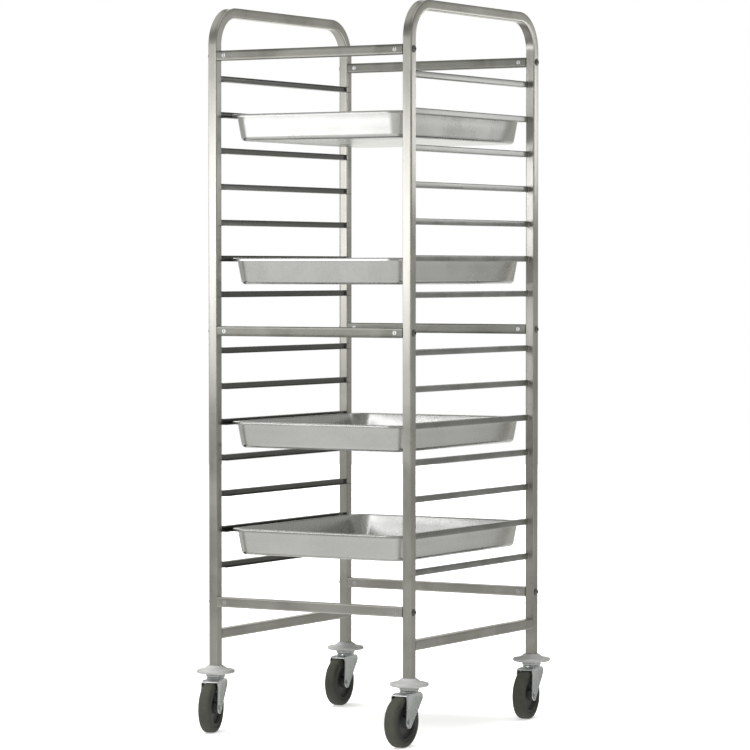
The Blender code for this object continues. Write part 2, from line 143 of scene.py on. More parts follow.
def makeRoom():
    # grey around the horizon, lighter below, dark above it and light again overhead, white behind the object
    world = bpy.data.worlds.new("studio")
    bpy.context.scene.world = world
    world.use_nodes = True
    tree = world.node_tree
    tree.nodes.clear()
    join = joiner(tree)
    place = addNode(tree, "ShaderNodeTexCoord")
    parts = addNode(tree, "ShaderNodeSeparateXYZ")
    join(place, "Generated", parts, "Vector")
    below = softRange(tree, room["belowSpan"], (room["level"], room["below"]))
    above = softRange(tree, room["aboveSpan"], (0.0, room["above"] - room["level"]))
    overhead = softRange(tree, room["overheadSpan"], (0.0, room["overhead"] - room["above"]))
    upper = addNode(tree, "ShaderNodeMath", {"operation": "ADD"})
    both = addNode(tree, "ShaderNodeMath", {"operation": "ADD"})
    for slope in (below, above, overhead):
        join(parts, "Z", slope, "Value")
    join(above, "Result", upper, 0)
    join(overhead, "Result", upper, 1)
    join(below, "Result", both, 0)
    join(upper, "Value", both, 1)
    towards = addNode(tree, "ShaderNodeVectorMath", {"operation": "DOT_PRODUCT"})
    towards.inputs[1].default_value = room["brightTowards"]
    share = softRange(tree, room["towardsSpan"], (room["awayShare"], room["towardsShare"]))
    strength = addNode(tree, "ShaderNodeMath", {"operation": "MULTIPLY"})
    join(place, "Generated", towards, 0)
    join(towards, "Value", share, "Value")
    join(both, "Value", strength, 0)
    join(share, "Result", strength, 1)
    behind = addNode(tree, "ShaderNodeVectorMath", {"operation": "DOT_PRODUCT"})
    behind.inputs[1].default_value = room["behind"]
    glow = softRange(tree, room["behindSpan"], (0.0, room["behindGlow"]))
    total = addNode(tree, "ShaderNodeMath", {"operation": "ADD"})
    join(place, "Generated", behind, 0)
    join(behind, "Value", glow, "Value")
    join(strength, "Value", total, 0)
    join(glow, "Result", total, 1)
    path = addNode(tree, "ShaderNodeLightPath")
    matt = addNode(tree, "ShaderNodeMapRange", values={"To Min": 1.0, "To Max": room["onMatt"]})
    level = addNode(tree, "ShaderNodeMath", {"operation": "MULTIPLY"})
    join(path, "Is Diffuse Ray", matt, "Value")
    join(total, "Value", level, 0)
    join(matt, "Result", level, 1)
    tint = addNode(tree, "ShaderNodeMix", {"data_type": "RGBA"})
    tint.inputs[6].default_value = (*room["levelColour"], 1)
    tint.inputs[7].default_value = (*room["openColour"], 1)
    join(both, "Value", tint, "Factor")
    around = addNode(tree, "ShaderNodeBackground")
    join(tint, 2, around, "Color")
    join(level, "Value", around, "Strength")
    backdrop = addNode(tree, "ShaderNodeBackground")
    backdrop.inputs["Color"].default_value = (1, 1, 1, 1)
    backdrop.inputs["Strength"].default_value = room["backdrop"]
    mix = addNode(tree, "ShaderNodeMixShader")
    out = addNode(tree, "ShaderNodeOutputWorld")
    join(path, "Is Camera Ray", mix, "Fac")
    join(around, "Background", mix, 1)
    join(backdrop, "Background", mix, 2)
    join(mix, "Shader", out, "Surface")
    bpy.context.scene.view_settings.view_transform = "Standard"


def makeFloor():
    bm = bmesh.new()
    bmesh.ops.create_circle(bm, cap_ends=True, radius=floor["radius"], segments=floor["sides"])
    mesh = bpy.data.meshes.new("floor")
    bm.to_mesh(mesh)
    bm.free()
    item = bpy.data.objects.new("floor", mesh)
    bpy.context.scene.collection.objects.link(item)
    material = bpy.data.materials.new("floor")
    material.use_nodes = True
    shader = material.node_tree.nodes["Principled BSDF"]
    shader.inputs["Base Color"].default_value = (*floor["colour"], 1)
    shader.inputs["Emission Color"].default_value = (1, 1, 1, 1)
    shader.inputs["Emission Strength"].default_value = floor["glow"]
    shader.inputs["Roughness"].default_value = floor["rough"]
    mesh.materials.append(material)
    item.visible_glossy = False


makeCamera()
makeLights()
makeRoom()
makeFloor()
print("stage: camera, lamps and floor")


# shader groups that several finishes share

def newGroup(name, inputs, outputs):
    group = bpy.data.node_groups.new(name, "ShaderNodeTree")
    for label, kind, value in inputs:
        socket = group.interface.new_socket(name=label, in_out="INPUT", socket_type=kind)
        if value is not None:
            socket.default_value = value
    for label, kind in outputs:
        group.interface.new_socket(name=label, in_out="OUTPUT", socket_type=kind)
    start = group.nodes.new("NodeGroupInput")
    end = group.nodes.new("NodeGroupOutput")
    return group, start, end


def makeGrainGroup():
    # fine polishing lines; the vector that comes in is already stretched along them
    group, start, end = newGroup(
        "polishingLines",
        [("Place", "NodeSocketVector", None), ("Fine Scale", "NodeSocketFloat", 900.0),
         ("Broad Scale", "NodeSocketFloat", 120.0), ("Broad Share", "NodeSocketFloat", 0.45)],
        [("Lines", "NodeSocketFloat"), ("Fine", "NodeSocketFloat")],
    )
    fine = addNode(group, "ShaderNodeTexNoise", values={"Detail": 3.0, "Roughness": 0.6})
    broad = addNode(group, "ShaderNodeTexNoise", values={"Detail": 2.0, "Roughness": 0.5})
    mix = addNode(group, "ShaderNodeMix", {"data_type": "FLOAT"})
    join = joiner(group)
    join(start, "Place", fine, "Vector")
    join(start, "Place", broad, "Vector")
    join(start, "Fine Scale", fine, "Scale")
    join(start, "Broad Scale", broad, "Scale")
    join(start, "Broad Share", mix, "Factor")
    join(fine, "Fac", mix, "A")
    join(broad, "Fac", mix, "B")
    spread = addNode(group, "ShaderNodeMapRange", values={"From Min": 0.32, "From Max": 0.68})
    join(mix, "Result", spread, "Value")
    join(spread, "Result", end, "Lines")
    join(fine, "Fac", end, "Fine")
    return group


def makeHandlingGroup():
    # cloudy patches left by wiping and handling, and small marks
    group, start, end = newGroup(
        "handlingMarks",
        [("Place", "NodeSocketVector", None), ("Patch Scale", "NodeSocketFloat", 7.0),
         ("Mark Scale", "NodeSocketFloat", 60.0), ("Mark Amount", "NodeSocketFloat", 0.35)],
        [("Patches", "NodeSocketFloat"), ("Marks", "NodeSocketFloat")],
    )
    patches = addNode(group, "ShaderNodeTexNoise", values={"Detail": 4.0, "Roughness": 0.55, "Distortion": 0.6})
    soft = softRange(group, (0.32, 0.70))
    marks = addNode(group, "ShaderNodeTexNoise", values={"Detail": 5.0, "Roughness": 0.7})
    cut = softRange(group, (0.56, 0.74))
    share = addNode(group, "ShaderNodeMath", {"operation": "MULTIPLY"})
    join = joiner(group)
    for texture, scale in ((patches, "Patch Scale"), (marks, "Mark Scale")):
        join(start, "Place", texture, "Vector")
        join(start, scale, texture, "Scale")
    join(patches, "Fac", soft, "Value")
    join(soft, "Result", end, "Patches")
    join(marks, "Fac", cut, "Value")
    join(cut, "Result", share, 0)
    join(start, "Mark Amount", share, 1)
    join(share, "Value", end, "Marks")
    return group


def makeWearGroup():
    # rubbed long edges of a square tube, from the place in its section; patchy along the edge
    group, start, end = newGroup(
        "edgeWear",
        [("Section Place", "NodeSocketVector", None), ("Patches", "NodeSocketFloat", 0.5),
         ("Edge From", "NodeSocketFloat", 0.0093), ("Edge To", "NodeSocketFloat", 0.0116)],
        [("Wear", "NodeSocketFloat")],
    )
    join = joiner(group)
    size = addNode(group, "ShaderNodeVectorMath", {"operation": "ABSOLUTE"})
    parts = addNode(group, "ShaderNodeSeparateXYZ")
    nearest = addNode(group, "ShaderNodeMath", {"operation": "MINIMUM"})
    ramp = softRange(group, (0.0, 1.0))
    share = addNode(group, "ShaderNodeMapRange", values={"To Min": 0.35, "To Max": 1.0})
    both = addNode(group, "ShaderNodeMath", {"operation": "MULTIPLY"})
    join(start, "Section Place", size, 0)
    join(size, "Vector", parts, "Vector")
    join(parts, "X", nearest, 0)
    join(parts, "Y", nearest, 1)
    join(nearest, "Value", ramp, "Value")
    join(start, "Edge From", ramp, "From Min")
    join(start, "Edge To", ramp, "From Max")
    join(start, "Patches", share, "Value")
    join(ramp, "Result", both, 0)
    join(share, "Result", both, 1)
    join(both, "Value", end, "Wear")
    return group


linesGroup = makeGrainGroup()
wearGroup = makeWearGroup()
handlingGroup = makeHandlingGroup()


def placeGroup(tree, group, values=None):
    node = tree.nodes.new("ShaderNodeGroup")
    node.node_tree = group
    for key, value in (values or {}).items():
        node.inputs[key].default_value = value
    return node


# finishes

steel = {
    "tubeSteel": {"light": (0.67, 0.655, 0.62), "dark": (0.46, 0.452, 0.42), "rough": (0.24, 0.40),
                  "stretch": (1, 1, 0.012), "source": "grainPlace", "patches": 6.0, "bump": 0.10, "wear": 0.45},
    # painted shade: the top and middle cross bars get this darker copy of the tube steel, which stands in for their
    # dimmer reflection
    "barSteel": {"light": (0.35, 0.35, 0.325), "dark": (0.18, 0.18, 0.16), "rough": (0.26, 0.42),
                 "stretch": (1, 1, 0.012), "source": "grainPlace", "patches": 9.0, "bump": 0.10, "wear": 0.45},
    "railSteel": {"light": (0.66, 0.645, 0.615), "dark": (0.46, 0.45, 0.42), "rough": (0.28, 0.44),
                  "stretch": (1, 1, 0.012), "source": "grainPlace", "patches": 9.0, "bump": 0.10, "wear": 0.40},
    # painted shade: the runners' inside colour darkens the faces within the channel, standing in for their shade
    "runnerSteel": {"light": (0.47, 0.47, 0.46), "dark": (0.30, 0.30, 0.29), "rough": (0.24, 0.40),
                    "stretch": (1, 0.012, 1), "source": "Object", "patches": 9.0, "bump": 0.08,
                    "inside": (0.19, 0.19, 0.185)},
    "panSteel": {"light": (0.76, 0.76, 0.755), "dark": (0.62, 0.62, 0.615), "rough": (0.22, 0.35),
                 "stretch": (1, 1, 0.6), "source": "Object", "patches": 5.0, "bump": 0.03,
                 "wave": 0.22, "waveScale": 11.0},
}
zinc = {"light": (0.82, 0.835, 0.845), "dark": (0.68, 0.70, 0.715), "rough": (0.20, 0.34), "spangle": 120.0}
boltSteel = {"light": (0.30, 0.30, 0.295), "dark": (0.15, 0.15, 0.148), "rough": (0.28, 0.45)}
greyPlastic = {"light": (0.42, 0.42, 0.415), "dark": (0.30, 0.30, 0.295), "rough": (0.38, 0.56)}
rubber = {"light": (0.058, 0.061, 0.046), "dark": (0.026, 0.028, 0.021), "rough": (0.55, 0.82)}
coreBlack = {"light": (0.036, 0.038, 0.036), "dark": (0.018, 0.019, 0.018), "rough": (0.38, 0.58)}


def newFinish(name, metallic):
    material = bpy.data.materials.new(name)
    material.use_nodes = True
    tree = material.node_tree
    shader = tree.nodes["Principled BSDF"]
    shader.inputs["Metallic"].default_value = metallic
    return material, tree, shader


def spreadOver(tree, mask, low, high, target):
    # maps a mask from 0..1 to a range of one shader input
    ramp = addNode(tree, "ShaderNodeMapRange", values={"To Min": low, "To Max": high})
    tree.links.new(mask, ramp.inputs["Value"])
    tree.links.new(ramp.outputs["Result"], target)


def mixColours(tree, mask, dark, light, target):
    mix = addNode(tree, "ShaderNodeMix", {"data_type": "RGBA"})
    mix.inputs[6].default_value = (*dark, 1)
    mix.inputs[7].default_value = (*light, 1)
    tree.links.new(mask, mix.inputs["Factor"])
    tree.links.new(mix.outputs[2], target)


def makeSteel(name):
    values = steel[name]
    material, tree, shader = newFinish(name, 1.0)
    join = joiner(tree)
    link = tree.links.new
    place = tree.nodes.new("ShaderNodeTexCoord")
    if values["source"] == "Object":
        along = place.outputs["Object"]
    else:
        along = addNode(tree, "ShaderNodeAttribute", {"attribute_name": values["source"]}).outputs["Vector"]
    stretch = addNode(tree, "ShaderNodeMapping", values={"Scale": values["stretch"]})
    link(along, stretch.inputs["Vector"])
    lines = placeGroup(tree, linesGroup)
    join(stretch, "Vector", lines, "Place")
    handling = placeGroup(tree, handlingGroup, {"Patch Scale": values["patches"]})
    join(place, "Object", handling, "Place")
    blend = addNode(tree, "ShaderNodeMix", {"data_type": "FLOAT"}, {"Factor": 0.6})
    join(lines, "Lines", blend, "A")
    join(handling, "Patches", blend, "B")
    shine, dullness = blend.outputs["Result"], blend.outputs["Result"]
    if "wear" in values:
        wear = placeGroup(tree, wearGroup)
        link(along, wear.inputs["Section Place"])
        join(handling, "Patches", wear, "Patches")
        lighter = addNode(tree, "ShaderNodeMath", {"operation": "MULTIPLY_ADD", "use_clamp": True})
        smoother = addNode(tree, "ShaderNodeMath", {"operation": "MULTIPLY_ADD", "use_clamp": True})
        for node, amount in ((lighter, values["wear"]), (smoother, -values["wear"])):
            join(wear, "Wear", node, 0)
            node.inputs[1].default_value = amount
            join(blend, "Result", node, 2)
        shine, dullness = lighter.outputs["Value"], smoother.outputs["Value"]
    if "inside" in values:
        # painted shade: the inner faces of a channel get a darker colour that stands for the shade between its
        # flanges
        shadeMask = addNode(tree, "ShaderNodeAttribute", {"attribute_name": "inside"})
        shadeOver = addNode(tree, "ShaderNodeMix", {"data_type": "RGBA"})
        mixColours(tree, shine, values["dark"], values["light"], shadeOver.inputs[6])
        shadeOver.inputs[7].default_value = (*values["inside"], 1)
        join(shadeMask, "Fac", shadeOver, "Factor")
        join(shadeOver, 2, shader, "Base Color")
    else:
        mixColours(tree, shine, values["dark"], values["light"], shader.inputs["Base Color"])
    dull = addNode(tree, "ShaderNodeMath", {"operation": "ADD", "use_clamp": True})
    link(dullness, dull.inputs[0])
    join(handling, "Marks", dull, 1)
    spreadOver(tree, dull.outputs["Value"], *values["rough"], shader.inputs["Roughness"])
    bump = addNode(tree, "ShaderNodeBump", values={"Strength": values["bump"], "Distance": 0.0004})
    join(lines, "Fine", bump, "Height")
    if "wave" in values:
        # the soft unevenness of pressed sheet
        wave = addNode(tree, "ShaderNodeTexNoise", values={"Scale": values["waveScale"], "Detail": 1.0})
        swell = addNode(tree, "ShaderNodeBump", values={"Strength": values["wave"], "Distance": 0.004})
        join(place, "Object", wave, "Vector")
        join(wave, "Fac", swell, "Height")
        join(swell, "Normal", bump, "Normal")
    join(bump, "Normal", shader, "Normal")
    return material


def makeSpeckled(name, values, metallic, textureScale, bumpStrength):
    # zinc plating, moulded plastic and rubber: patches, fine texture and small marks
    material, tree, shader = newFinish(name, metallic)
    join = joiner(tree)
    place = tree.nodes.new("ShaderNodeTexCoord")
    handling = placeGroup(tree, handlingGroup, {"Patch Scale": 24.0, "Mark Scale": 140.0})
    join(place, "Object", handling, "Place")
    texture = addNode(tree, "ShaderNodeTexNoise", values={"Scale": textureScale, "Detail": 3.0})
    join(place, "Object", texture, "Vector")
    blend = addNode(tree, "ShaderNodeMix", {"data_type": "FLOAT"}, {"Factor": 0.5})
    join(texture, "Fac", blend, "A")
    join(handling, "Patches", blend, "B")
    mixColours(tree, blend.outputs["Result"], values["dark"], values["light"], shader.inputs["Base Color"])
    dull = addNode(tree, "ShaderNodeMath", {"operation": "ADD", "use_clamp": True})
    join(blend, "Result", dull, 0)
    join(handling, "Marks", dull, 1)
    spreadOver(tree, dull.outputs["Value"], *values["rough"], shader.inputs["Roughness"])
    bump = addNode(tree, "ShaderNodeBump", values={"Strength": bumpStrength, "Distance": 0.0003})
    join(texture, "Fac", bump, "Height")
    join(bump, "Normal", shader, "Normal")
    return material


finishes = {name: makeSteel(name) for name in steel}
finishes["zinc"] = makeSpeckled("zinc", zinc, 1.0, zinc["spangle"], 0.03)
finishes["boltSteel"] = makeSpeckled("boltSteel", boltSteel, 1.0, 500.0, 0.05)
finishes["greyPlastic"] = makeSpeckled("greyPlastic", greyPlastic, 0.0, 900.0, 0.15)
finishes["rubber"] = makeSpeckled("rubber", rubber, 0.0, 700.0, 0.25)
finishes["coreBlack"] = makeSpeckled("coreBlack", coreBlack, 0.0, 800.0, 0.12)
print("finishes:", ", ".join(finishes))


# making pieces

def looseObject(name, mesh):
    item = bpy.data.objects.new(name, mesh)
    bpy.context.scene.collection.objects.link(item)
    return item


def fromBmesh(name, bm, smoothAngle=35):
    bmesh.ops.remove_doubles(bm, verts=bm.verts, dist=1e-6)
    bmesh.ops.recalc_face_normals(bm, faces=bm.faces)
    mesh = bpy.data.meshes.new(name)
    bm.to_mesh(mesh)
    bm.free()
    mesh.shade_smooth()
    mesh.set_sharp_from_angle(angle=radians(smoothAngle))
    return looseObject(name, mesh)


def makePlain(item, smoothAngle=None):
    # keeps what the modifiers made as a plain mesh
    bpy.context.view_layer.update()
    made = item.evaluated_get(bpy.context.evaluated_depsgraph_get())
    mesh = bpy.data.meshes.new_from_object(made)
    item.modifiers.clear()
    item.data = mesh
    mesh.name = item.name
    if smoothAngle:
        mesh.shade_smooth()
        mesh.set_sharp_from_angle(angle=radians(smoothAngle))
    return item


def addCut(item, name, bm):
    # takes a shape away from a piece; the shape is removed once the piece is plain
    cutter = fromBmesh(name, bm)
    cut = item.modifiers.new(name, "BOOLEAN")
    cut.operation = "DIFFERENCE"
    cut.object = cutter
    return cutter


def finishPiece(item, finish, body, nodes=()):
    item.data.materials.clear()
    item.data.materials.append(finishes[finish])
    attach(item, body)
    if nodes:
        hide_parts(*nodes)
    return item


def rings(bm, ringList, closeLoop=False):
    # joins equal rings of vertices in order
    pairs = list(zip(ringList, ringList[1:]))
    if closeLoop:
        pairs.append((ringList[-1], ringList[0]))
    for first, second in pairs:
        count = len(first)
        for i in range(count):
            j = (i + 1) % count
            bm.faces.new((first[i], first[j], second[j], second[i]))


def arc(centre, radius, start, end, steps):
    # points on a circle, angles in degrees
    return [
        (centre[0] + radius * cos(radians(start + (end - start) * i / steps)),
         centre[1] + radius * sin(radians(start + (end - start) * i / steps)))
        for i in range(steps + 1)
    ]


def turned(bm, profile, sides, place=Matrix.Identity(4)):
    # profile is (radius, height); a radius of 0 at both ends closes the shape on its axis
    made = []
    for radius, height in profile:
        if radius > 0:
            made.append([bm.verts.new(place @ Vector((radius * cos(2 * pi * i / sides),
                                                      radius * sin(2 * pi * i / sides), height)))
                         for i in range(sides)])
    solid = profile[0][0] == 0
    rings(bm, made, closeLoop=not solid)
    if solid:
        for ring in (made[0], made[-1]):
            bm.faces.new(ring)


# geometry nodes: one tree sweeps square tube along a path, one places copies at points

def newTree(name, inputs):
    tree = bpy.data.node_groups.new(name, "GeometryNodeTree")
    tree.interface.new_socket(name="Geometry", in_out="INPUT", socket_type="NodeSocketGeometry")
    for label, kind, value in inputs:
        socket = tree.interface.new_socket(name=label, in_out="INPUT", socket_type=kind)
        if value is not None:
            socket.default_value = value
    tree.interface.new_socket(name="Geometry", in_out="OUTPUT", socket_type="NodeSocketGeometry")
    return tree, tree.nodes.new("NodeGroupInput"), tree.nodes.new("NodeGroupOutput")


def makeTubeTree():
    tree, start, end = newTree("squareTube", [
        ("Side", "NodeSocketFloat", 0.025),
        ("Corner Radius", "NodeSocketFloat", 0.003),
        ("Corner Steps", "NodeSocketInt", 4),
        ("Face Cuts", "NodeSocketInt", 4),
        ("Bend Radius", "NodeSocketFloat", 0.085),
        ("Bend Steps", "NodeSocketInt", 24),
        ("Across", "NodeSocketVector", (1.0, 0.0, 0.0)),
        ("Material", "NodeSocketMaterial", None),
    ])
    join = joiner(tree)
    path = addNode(tree, "GeometryNodeMeshToCurve")
    bend = addNode(tree, "GeometryNodeFilletCurve", {"mode": "POLY"})
    normal = addNode(tree, "GeometryNodeSetCurveNormal", {"mode": "FREE"})
    length = addNode(tree, "GeometryNodeSplineParameter")
    keepLength = addNode(tree, "GeometryNodeCaptureAttribute")
    keepLength.capture_items.new("FLOAT", "Length")
    section = addNode(tree, "GeometryNodeCurvePrimitiveQuadrilateral")
    rounded = addNode(tree, "GeometryNodeFilletCurve", {"mode": "POLY"})
    divided = addNode(tree, "GeometryNodeSubdivideCurve")
    where = addNode(tree, "GeometryNodeInputPosition")
    keepWhere = addNode(tree, "GeometryNodeCaptureAttribute")
    keepWhere.capture_items.new("VECTOR", "Where")
    sweep = addNode(tree, "GeometryNodeCurveToMesh")
    parts = addNode(tree, "ShaderNodeSeparateXYZ")
    grain = addNode(tree, "ShaderNodeCombineXYZ")
    store = addNode(tree, "GeometryNodeStoreNamedAttribute", {"data_type": "FLOAT_VECTOR", "domain": "POINT"})
    store.inputs["Name"].default_value = "grainPlace"
    real = addNode(tree, "GeometryNodeRealizeInstances")
    paint = addNode(tree, "GeometryNodeSetMaterial")
    join(start, "Geometry", path, "Mesh")
    join(path, "Curve", bend, "Curve")
    join(start, "Bend Radius", bend, "Radius")
    join(start, "Bend Steps", bend, "Count")
    join(bend, "Curve", normal, "Curve")
    join(start, "Across", normal, "Normal")
    join(normal, "Curve", keepLength, "Geometry")
    join(length, "Length", keepLength, "Length")
    join(start, "Side", section, "Width")
    join(start, "Side", section, "Height")
    join(section, "Curve", rounded, "Curve")
    join(start, "Corner Radius", rounded, "Radius")
    join(start, "Corner Steps", rounded, "Count")
    join(rounded, "Curve", divided, "Curve")
    join(start, "Face Cuts", divided, "Cuts")
    join(divided, "Curve", keepWhere, "Geometry")
    join(where, "Position", keepWhere, "Where")
    join(keepLength, "Geometry", sweep, "Curve")
    join(keepWhere, "Geometry", sweep, "Profile Curve")
    join(keepWhere, "Where", parts, "Vector")
    join(parts, "X", grain, "X")
    join(parts, "Y", grain, "Y")
    join(keepLength, "Length", grain, "Z")
    join(sweep, "Mesh", store, "Geometry")
    join(grain, "Vector", store, "Value")
    join(store, "Geometry", real, "Geometry")
    join(real, "Geometry", paint, "Geometry")
    join(start, "Material", paint, "Material")
    join(paint, "Geometry", end, "Geometry")
    return tree


def makeCopiesTree():
    # a copy at each point, turned by the point's "turn" attribute
    tree, start, end = newTree("placeCopies", [
        ("Copy", "NodeSocketObject", None),
        ("Material", "NodeSocketMaterial", None),
    ])
    join = joiner(tree)
    shape = addNode(tree, "GeometryNodeObjectInfo")
    turn = addNode(tree, "GeometryNodeInputNamedAttribute", {"data_type": "FLOAT_VECTOR"}, {"Name": "turn"})
    place = addNode(tree, "GeometryNodeInstanceOnPoints")
    real = addNode(tree, "GeometryNodeRealizeInstances")
    paint = addNode(tree, "GeometryNodeSetMaterial")
    join(start, "Copy", shape, "Object")
    join(start, "Geometry", place, "Points")
    join(shape, "Geometry", place, "Instance")
    join(turn, "Attribute", place, "Rotation")
    join(place, "Instances", real, "Geometry")
    join(real, "Geometry", paint, "Geometry")
    join(start, "Material", paint, "Material")
    join(paint, "Geometry", end, "Geometry")
    return tree


tubeTree = makeTubeTree()
copiesTree = makeCopiesTree()


def useTree(item, tree, values):
    modifier = item.modifiers.new(tree.name, "NODES")
    modifier.node_group = tree
    for socket in tree.interface.items_tree:
        if socket.in_out == "INPUT" and socket.name in values:
            modifier[socket.identifier] = values[socket.name]


def pathObject(name, points):
    mesh = bpy.data.meshes.new(name)
    mesh.from_pydata(points, [(i, i + 1) for i in range(len(points) - 1)], [])
    return looseObject(name, mesh)


def placeCopies(name, copy, points, finish):
    # points is a list of (place, turn); the shape that is copied is thrown away afterwards
    mesh = bpy.data.meshes.new(name)
    mesh.from_pydata([place for place, turn in points], [], [])
    turns = mesh.attributes.new("turn", "FLOAT_VECTOR", "POINT")
    turns.data.foreach_set("vector", [value for place, turn in points for value in turn])
    item = looseObject(name, mesh)
    useTree(item, copiesTree, {"Copy": copy, "Material": finishes[finish]})
    makePlain(item, 35)
    bpy.data.objects.remove(copy)
    return item


# side frames, bottom rails and cross bars

tube = {"corner": 0.0030, "cornerSteps": 4, "faceCuts": 4, "wall": 0.0015, "bend": 0.085, "bendSteps": 30,
        "outerDent": 0.0016, "innerDent": 0.0014, "sideBulge": 0.0003}
leftLow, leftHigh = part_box("left_frame_tube")
tubeSide = leftHigh.x - leftLow.x


def dentBend(mesh, middleX, centre):
    # drawing a square tube round a bend sinks its outer and inner walls and swells its sides
    half = tubeSide / 2
    flat = half - tube["corner"] * 0.6
    outward = 1 if centre[0] > (leftLow.y + leftHigh.y) / 2 else -1
    for vert in mesh.vertices:
        y = (vert.co.y - centre[0]) * outward
        z = vert.co.z - centre[1]
        if y < 0 or z < 0:
            continue
        distance = hypot(y, z)
        share = max(sin(2 * atan2(z, y)), 0) ** 0.7
        offset = vert.co.x - middleX
        across = max(1 - (offset / flat) ** 2, 0)
        change = 0
        if distance > tube["bend"] + half - 0.0004:
            change = -tube["outerDent"] * share * across
        elif distance < tube["bend"] - half + 0.0004:
            change = tube["innerDent"] * share * across
        if abs(offset) > half - 0.0002:
            through = max(1 - ((distance - tube["bend"]) / flat) ** 2, 0)
            vert.co.x += tube["sideBulge"] * share * through * (1 if offset > 0 else -1)
        scale = (distance + change) / distance
        vert.co.y = centre[0] + y * scale * outward
        vert.co.z = centre[1] + z * scale


def makeTube(name, points, across, finish, nodes):
    item = pathObject(name, points)
    useTree(item, tubeTree, {
        "Side": tubeSide, "Corner Radius": tube["corner"], "Corner Steps": tube["cornerSteps"],
        "Face Cuts": tube["faceCuts"], "Bend Radius": tube["bend"], "Bend Steps": tube["bendSteps"],
        "Across": across, "Material": finishes[finish],
    })
    makePlain(item)
    if len(points) == 4:
        bendZ = points[1][2] - tube["bend"]
        dentBend(item.data, points[1][0], (points[1][1] + tube["bend"], bendZ))
        dentBend(item.data, points[2][0], (points[2][1] - tube["bend"], bendZ))
    wall = item.modifiers.new("wall", "SOLIDIFY")
    wall.thickness = tube["wall"]
    wall.offset = -1
    wall.use_even_offset = True
    makePlain(item, 40)
    return finishPiece(item, finish, "rack", nodes)


def makeSideFrame(side):
    low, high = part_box(f"{side}_frame_tube")
    x = (low.x + high.x) / 2
    front = low.y + tubeSide / 2
    rear = high.y - tubeSide / 2
    top = high.z - tubeSide / 2
    points = [(x, front, low.z), (x, front, top), (x, rear, top), (x, rear, low.z)]
    makeTube(f"{side}_frame", points, (1, 0, 0), "tubeSteel", [f"{side}_frame_tube"])


def makeBottomRail(side):
    low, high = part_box(f"{side}_bottom_rail")
    middle = (low + high) / 2
    points = [(middle.x, low.y, middle.z), (middle.x, high.y, middle.z)]
    makeTube(f"{side}_rail", points, (1, 0, 0), "railSteel", [f"{side}_bottom_rail"])


def makeCrossBar(end, level):
    low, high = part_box(f"{end}_{level}_bar")
    middle = (low + high) / 2
    reach = leftHigh.x + 0.0003
    points = [(reach, middle.y, middle.z), (-reach, middle.y, middle.z)]
    # painted shade: the top and middle bars take the darker copy of the steel, the bottom ones the plain one
    finish = "railSteel" if level == "bottom" else "barSteel"
    makeTube(f"{end}_{level}_cross_bar", points, (0, 0, 1), finish, [f"{end}_{level}_bar"])


for side in ("left", "right"):
    makeSideFrame(side)
    makeBottomRail(side)
barNodes = [(end, level) for end in ("front", "rear") for level in ("bottom", "middle", "top")]
for end, level in barNodes:
    makeCrossBar(end, level)
print("tubes: 2 side frames, 2 rails, 6 cross bars")


# bolts and barrel nuts

bolt = {"flange": 0.0089, "flangeHeight": 0.0011, "dome": 0.0072, "top": 0.0038, "height": 0.0044,
        "socket": 0.0029, "socketDepth": 0.0028, "sides": 32}
nut = {"radius": 0.0060, "proud": 0.0006, "chamfer": 0.0005, "slotWidth": 0.0014, "setback": 0.022,
       "sides": 32}


def boltHead():
    bm = bmesh.new()
    sides, flange, rise = bolt["sides"], bolt["flange"], bolt["flangeHeight"]
    dome, flat, domeTop = bolt["dome"], bolt["top"], bolt["height"]
    profile = [(flat, 0), (flange - 0.0002, 0), (flange, 0.0002), (flange, rise - 0.0002), (flange - 0.0003, rise)]
    profile += [(dome, rise + 0.0001)]
    for i in range(1, 7):
        angle = radians(15 * i)
        profile.append((flat + (dome - flat) * cos(angle), rise + (domeTop - rise) * sin(angle)))
    made = [[bm.verts.new((r * cos(2 * pi * i / sides), r * sin(2 * pi * i / sides), h)) for i in range(sides)]
            for r, h in profile]
    rings(bm, made)
    bm.faces.new(made[0])
    bm.faces.new(made[-1])
    item = fromBmesh("bolt_shape", bm)
    hexagon = bmesh.new()
    bmesh.ops.create_cone(hexagon, cap_ends=True, segments=6, radius1=bolt["socket"], radius2=bolt["socket"],
                          depth=0.01, matrix=Matrix.Translation((0, 0, domeTop - bolt["socketDepth"] + 0.005)))
    cutter = addCut(item, "socket_shape", hexagon)
    makePlain(item, 35)
    bpy.data.objects.remove(cutter)
    return item


def nutFace():
    # the end of a barrel nut, a low disc with a slot for holding it
    bm = bmesh.new()
    r, top, edge = nut["radius"] - 0.0002, nut["proud"], nut["chamfer"]
    turned(bm, [(0, -0.001), (r, -0.001), (r, top - edge * 0.7), (r - edge, top), (0, top)], nut["sides"])
    item = fromBmesh("nut_shape", bm)
    box = bmesh.new()
    bmesh.ops.create_cube(box, matrix=Matrix.Translation((0, 0, top + 0.0042))
                          @ Matrix.Diagonal((nut["slotWidth"], 0.02, 0.01, 1)))
    cutter = addCut(item, "slot_shape", box)
    makePlain(item, 35)
    bpy.data.objects.remove(cutter)
    return item


def makeFasteners():
    heads, nuts = [], []
    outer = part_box("right_frame_tube")[1].x + 0.0003
    for end, level in barNodes:
        low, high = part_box(f"{end}_{level}_bar")
        middle = (low + high) / 2
        for sign in (-1, 1):
            heads.append(((sign * outer, middle.y, middle.z), (0, sign * pi / 2, 0)))
            nutX = sign * (outer - tubeSide - nut["setback"])
            for face in (-1, 1):
                y = middle.y + face * tubeSide / 2
                nuts.append(((nutX, y, middle.z), (-face * pi / 2, 0, 0)))
    finishPiece(placeCopies("frame_bolts", boltHead(), heads, "boltSteel"), "boltSteel", "rack")
    finishPiece(placeCopies("barrel_nuts", nutFace(), nuts, "zinc"), "zinc", "rack")


